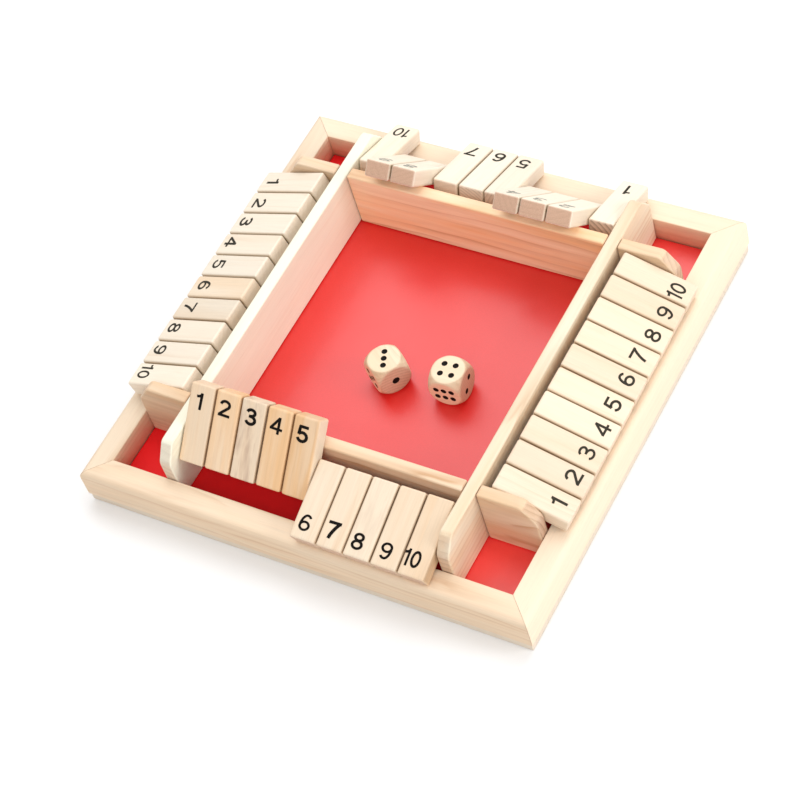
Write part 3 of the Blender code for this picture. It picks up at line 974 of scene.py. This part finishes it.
# %% Numbers on the tiles
digit_height = 0.0074
digit_widening = 1.12
digit_gap = 0.16               # between the two digits of a ten, as a share of their height
ten_narrowing = 0.80
print_centres = {              # millimetres along the rod, and out from it, for 1 to 10
    "south": ((-0.9, 19.0), (-0.85, 19.3), (-0.6, 19.2), (-0.8, 19.1), (-0.9, 18.9),
              (-1.0, 19.0), (-0.8, 18.3), (-1.35, 19.4), (-0.95, 19.5), (-2.0, 18.9)),
    "east": ((0.3, 17.7), (1.05, 17.9), (0.7, 18.0), (0.75, 18.8), (0.45, 17.8),
             (1.0, 17.7), (0.8, 17.5), (-0.2, 18.5), (-0.5, 18.5), (-1.4, 18.3)),
    "north": ((0.2, 19.2), (0.5, 19.3), (0.4, 19.4), (0.6, 19.3), (0.65, 19.3),
              (0.5, 19.6), (1.0, 19.1), (0.7, 19.3), (0.4, 19.2), (-0.15, 19.9)),
    "west": ((-0.1, 19.1), (0.8, 18.9), (-0.6, 19.6), (-0.9, 20.3), (-0.4, 18.9),
             (-0.4, 19.1), (-0.1, 19.2), (-0.8, 20.1), (-0.9, 20.0), (-1.2, 20.0)),
}
ink_spreads = by_name({"south": {1: 0.014, 2: 0.011, 3: 0.020, 4: 0.009, 5: 0.020, 7: 0.024, 10: 0.009}})
usual_spread = (-0.003, 0.006)
print_lean = 2                 # degrees, either way
millimetre = 0.001


def number_mesh(number, spread):
    """A number's digits side by side, centred on the origin, one unit tall. The ink has spread a little."""
    mesh = bmesh.new()
    reach = 0.0
    for digit in str(number):
        before = len(mesh.verts)
        mesh.from_mesh(digit_meshes[digit])
        mesh.verts.ensure_lookup_table()
        added = mesh.verts[before:]
        left = min(corner.co.x for corner in added)
        bmesh.ops.translate(mesh, verts=added, vec=(reach - left, -0.5, 0))
        reach = max(corner.co.x for corner in added) + digit_gap
    bmesh.ops.translate(mesh, verts=mesh.verts[:], vec=(-(reach - digit_gap) / 2, 0, 0))
    mesh.normal_update()
    for corner in mesh.verts:
        outward = Vector((corner.normal.x, corner.normal.y, 0))
        if outward.length > 0.1:
            corner.co += outward.normalized() * spread
    width = digit_widening * (ten_narrowing if number > 9 else 1.0)
    bmesh.ops.scale(mesh, vec=(width, 1, 1), verts=mesh.verts[:])
    return mesh


def make_numbers(side, number):
    """The ink on both faces of a tile."""
    name = tile_name(side, number)
    chance = random.Random("print of " + name)
    along, out = print_centres[side][number - 1]
    inks = [ink if side == "south" else ink_thin]
    # The far row's flipped tiles get the pale grey ink on their upturned face: a painted highlight.
    if side == "north" and is_flipped(name):
        inks.append(ink_painted_glare)
    spread = ink_spreads.get(name, chance.uniform(*usual_spread))
    both = bmesh.new()
    for face, turn in ((1, 0), (-1, math.pi)):
        one = number_mesh(number, spread)
        for patch in one.faces:
            patch.material_index = len(inks) - 1 if face < 0 else 0
        offset = Vector((along * millimetre, -out * millimetre, face * tile_thickness / 2))
        lean = Matrix.Rotation(math.radians(chance.uniform(-print_lean, print_lean)), 4, "Z")
        size = Matrix.Diagonal((digit_height, digit_height, digit_height, 1))
        place = Matrix.Translation(offset) @ Matrix.Rotation(turn, 4, "X") @ lean @ size
        bmesh.ops.transform(one, matrix=place, verts=one.verts[:])
        data = as_data("one", one)
        both.from_mesh(data)
        bpy.data.meshes.remove(data)
    finish_piece("print_" + name, both, inks, name, None, tile_place(side, name), smooth_limit)


for side in sides:
    for number in numbers:
        make_numbers(side, number)
print("eighty numbers")

# %% [markdown]
# ## Dice
#
# Each die is turned as a wooden ball and then given six flats, so its faces are round and its corners are gone. Then
# it is tumbled, which softens the rims of the flats. One formula gives that shape: how far the surface lies from the
# middle in some direction is a soft minimum of the distances to the three flats and to the ball. It moves the points
# of a finely divided cube, which keeps the mesh even.
#
# The pips are shallow hollows left by a round drill and filled with ink. Opposite faces add up to seven. All the
# hollows of a die are cut with one Boolean from a set of small balls, and the cut faces keep the balls' material,
# which is the ink.

# %% The shape of a die
die_side = 0.0160
die_ball = 0.0110              # radius of the ball that it was cut from
die_tumbling = 55              # the lower, the softer the rims
die_cuts = 43


def die_shape():
    """A ball with six flats and softened rims."""
    mesh = bmesh.new()
    bmesh.ops.create_cube(mesh, size=die_side)
    bmesh.ops.subdivide_edges(mesh, edges=mesh.edges[:], cuts=die_cuts, use_grid_fill=True)
    half = die_side / 2
    for corner in mesh.verts:
        spread = Vector([math.tan(value / half * math.pi / 4) for value in corner.co])
        way = spread.normalized()
        pull = sum((abs(value) / half) ** die_tumbling for value in way) + (1 / die_ball) ** die_tumbling
        corner.co = way * pull ** (-1 / die_tumbling)
    return mesh


# %% Where the pips are
pip_radius = 0.00140
one_pip_radius = 0.00185
pip_depth = 0.00050
pip_step = 0.0027
two_step = 0.0023
six_across = 0.0037
six_up = 0.0023
four_pips = [(x, y) for x in (-1, 1) for y in (-1, 1)]
pip_layouts = {
    1: [(0, 0)], 2: [(-1, -1), (1, 1)], 3: [(-1, -1), (0, 0), (1, 1)],
    4: four_pips, 5: four_pips + [(0, 0)], 6: [(x, y) for y in (-1, 1) for x in (-1, 0, 1)],
}
pip_steps = {value: (pip_step, pip_step) for value in (1, 3, 4, 5)}
pip_steps[2] = (two_step, two_step)
pip_steps[6] = (six_across, six_up)
dice_faces = {
    "die_left": {3: "+Z", 4: "-Z", 1: "-Y", 6: "+Y", 2: "+X", 5: "-X"},
    "die_right": {4: "+Z", 3: "-Z", 6: "-Y", 1: "+Y", 2: "+X", 5: "-X"},
}
dice_turns = {"die_left": math.radians(57.2), "die_right": math.radians(4.7)}
askew = {("die_left", 3): math.radians(11)}
face_frames = {
    "+Z": ((1, 0, 0), (0, 1, 0)), "-Z": ((1, 0, 0), (0, -1, 0)),
    "-Y": ((1, 0, 0), (0, 0, 1)), "+Y": ((-1, 0, 0), (0, 0, 1)),
    "+X": ((0, 1, 0), (0, 0, 1)), "-X": ((0, -1, 0), (0, 0, 1)),
}


def drill_size(value):
    """Radius of the ball that drills a pip of this face."""
    radius = one_pip_radius if value == 1 else pip_radius
    return (radius ** 2 + pip_depth ** 2) / (2 * pip_depth)


def pip_places(name, value, face):
    """The middles of the balls that drill one face."""
    right, up = (Vector(axis) for axis in face_frames[face])
    outward = right.cross(up)
    twist = Matrix.Rotation(askew.get((name, value), 0.0), 3, outward)
    step_x, step_y = pip_steps[value]
    for x, y in pip_layouts[value]:
        flat = twist @ (right * x * step_x + up * y * step_y)
        yield flat + outward * (die_side / 2 + drill_size(value) - pip_depth)


# %% [markdown]
# The dice are a closer, paler wood than the tiles, with finer rings. They are drilled with the same helper that
# bored the tiles. What is left of the ball between the flats is made darker.

# %% Two dice
pine_die = pine("pine_die", (0.88, 0.76, 0.57), (0.66, 0.42, 0.24), warm_wood)
die_grain = {"die_left": 1, "die_right": 0}
die_smooth_limit = math.radians(35)
rim_darkening = 0.62
rim_turn = 0.22                # how far a rim has turned away from its flat where it is fully dark


def darken_rims(mesh):
    """Make the rounded parts between the flats darker, as dark as a plank's rough sides."""
    sawn_and_shade = mesh.faces.layers.float["sawn_and_shade"]
    for face in mesh.faces:
        turned = 1.0 - max(abs(value) for value in face.normal)
        face[sawn_and_shade] = rim_darkening * min(1.0, turned / rim_turn)


def make_die(name):
    """A die, drilled and in place."""
    drill = bmesh.new()
    for value, face in dice_faces[name].items():
        for middle in pip_places(name, value, face):
            bmesh.ops.create_uvsphere(drill, u_segments=24, v_segments=16, radius=drill_size(value),
                                      matrix=Matrix.Translation(middle))
    mesh = cut_out(die_shape(), drill, [pine_die], [ink])
    lay_grain(mesh, die_grain[name], name, tone=0.1, warmth=0.35, figure=0.35, ring_width=0.0017, end_figure=0.35)
    darken_rims(mesh)
    low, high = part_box(name)
    place = Matrix.Translation((low + high) / 2) @ Matrix.Rotation(dice_turns[name], 4, "Z")
    die = finish_piece("dotted_" + name, mesh, [pine_die, ink], name, name, place, die_smooth_limit)
    print(name, "faces", len(die.data.polygons), "inked", sum(face.material_index for face in die.data.polygons))


make_die("die_left")
make_die("die_right")

# %% [markdown]
# ## Floor, light and camera
#
# The board stands on a plain white floor under soft light: two large lamps high behind it, whose reflection makes
# the felt glow, a low one on the right that whitens that side, a weaker one near the camera that reaches into the
# gaps, and an even white surround. The camera looks down from the front right with a long lens, turned a little on
# its own axis.

# %% White floor
floor_reach = 4.0
floor_drop = 0.0003            # keeps it clear of the base


def make_floor():
    """A plain floor that isn't part of the object."""
    mesh = bmesh.new()
    bmesh.ops.create_grid(mesh, x_segments=4, y_segments=4, size=floor_reach)
    bmesh.ops.translate(mesh, verts=mesh.verts[:], vec=(0, 0, -floor_drop))
    material, tree, shader = start_material("floor_white")
    soft = noise_node(tree, object_place(tree), (3, 3, 3), detail=1.0)
    colour = mix_node(tree, soft, (0.88, 0.88, 0.88, 1), (0.90, 0.90, 0.90, 1))
    fill_in(tree, shader, {"Base Color": colour, "Roughness": 0.9, "Emission Color": (1, 1, 1, 1),
                           "Emission Strength": 0.05})
    floor = add_object("floor", as_data("floor", mesh, [material]))


make_floor()

# %% Soft studio light
def make_lamp(name, place, size, power):
    """A square soft lamp that faces the middle of the board, at the origin."""
    light = bpy.data.lights.new(name, "AREA")
    light.size = size
    light.energy = power
    lamp = add_object(name, light)
    lamp.location = place
    lamp.rotation_euler = (-lamp.location).to_track_quat("-Z", "Y").to_euler()


make_lamp("lamp_far", (0.0, 0.60, 1.15), 1.0, 6.2)
make_lamp("lamp_left_far", (-0.90, 0.75, 1.05), 0.8, 4.0)
make_lamp("lamp_right", (1.08, 0.15, 0.62), 0.5, 5.0)
make_lamp("lamp_front", (0.42, -0.82, 1.0), 0.8, 4.7)

surround_strength = 0.60
world = bpy.data.worlds.new("surround")
world.use_nodes = True
fill_in(world.node_tree, world.node_tree.nodes["Background"], {"Color": (1, 1, 1, 1), "Strength": surround_strength})
bpy.context.scene.world = world
bpy.context.scene.view_settings.view_transform = "Standard"

# %% Camera
camera_place = (0.47208, -0.51264, 0.85628)
camera_angles = (37.0475, 12.2225, 28.0748)
lens = 110.0
sensor = 36.0
camera = add_object("camera", bpy.data.cameras.new("camera"))
camera.data.lens = lens
camera.data.sensor_width = sensor
camera.location = camera_place
camera.rotation_euler = [math.radians(angle) for angle in camera_angles]
bpy.context.scene.camera = camera
